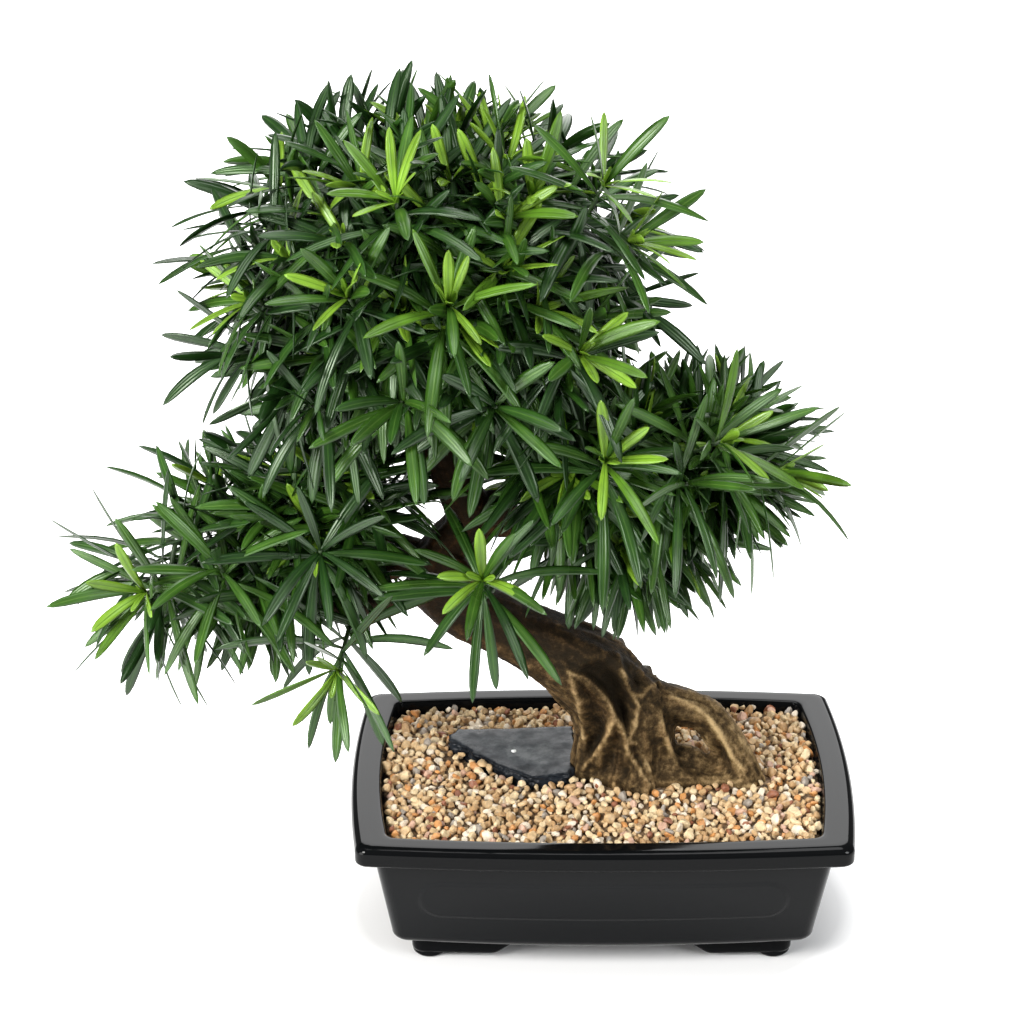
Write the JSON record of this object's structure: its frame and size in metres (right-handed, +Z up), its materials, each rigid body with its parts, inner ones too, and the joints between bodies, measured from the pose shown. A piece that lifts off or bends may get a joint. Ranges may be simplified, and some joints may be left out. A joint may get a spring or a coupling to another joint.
{
  "type": "artificial podocarpus bonsai in a ceramic pot",
  "caption": "Artificial bonsai with a leaning moulded trunk, three pads of long narrow green leaves, gravel and a glazed black oblong pot.",
  "frame": {"origin": "on the surface the pot stands on, under the middle of the whole plant's bounding box", "axes": "+Z up, +X to the right and -Y towards the viewer as the plant is shown, with the pot's long side along X"},
  "size_m": [0.4346, 0.2494, 0.5009],
  "materials": {
    "pot_glaze": "glossy black glaze, thin and bright on the rounded edges of the lip",
    "filling": "hidden rigid filling that holds the tree down, dull and grey",
    "gravel": "loose rounded pebbles of cream, tan, orange, grey and brown, dull with a faint sheen",
    "slate": "dark blue grey slab with a flat satin top and rough broken edges",
    "bark": "moulded bark, dark hollows with rubbed tan ridges at the foot, redder brown higher up",
    "leaves": "narrow moulded leaves in dark glossy green with lighter yellow green young leaves at the tips"
  },
  "bodies": {
    "root": {"pot": "pot_glaze", "filling": "filling", "gravel": "gravel", "slab": "slate", "trunk": "bark", "bough_crown_top": "bark", "bough_crown_left": "bark", "bough_crown_right": "bark", "bough_crown_front": "bark", "bough_crown_back": "bark", "bough_left_far": "bark", "bough_left_near": "bark", "bough_left_back": "bark", "bough_right_far": "bark", "bough_right_near": "bark", "bough_right_back": "bark", "bough_front_low": "bark", "foliage_crown_top": "leaves", "foliage_crown_left": "leaves", "foliage_crown_right": "leaves", "foliage_crown_front": "leaves", "foliage_crown_back": "leaves", "foliage_left_far": "leaves", "foliage_left_near": "leaves", "foliage_left_back": "leaves", "foliage_right_far": "leaves", "foliage_right_near": "leaves", "foliage_right_back": "leaves", "foliage_front_low": "leaves"}
  },
  "joints": []
}
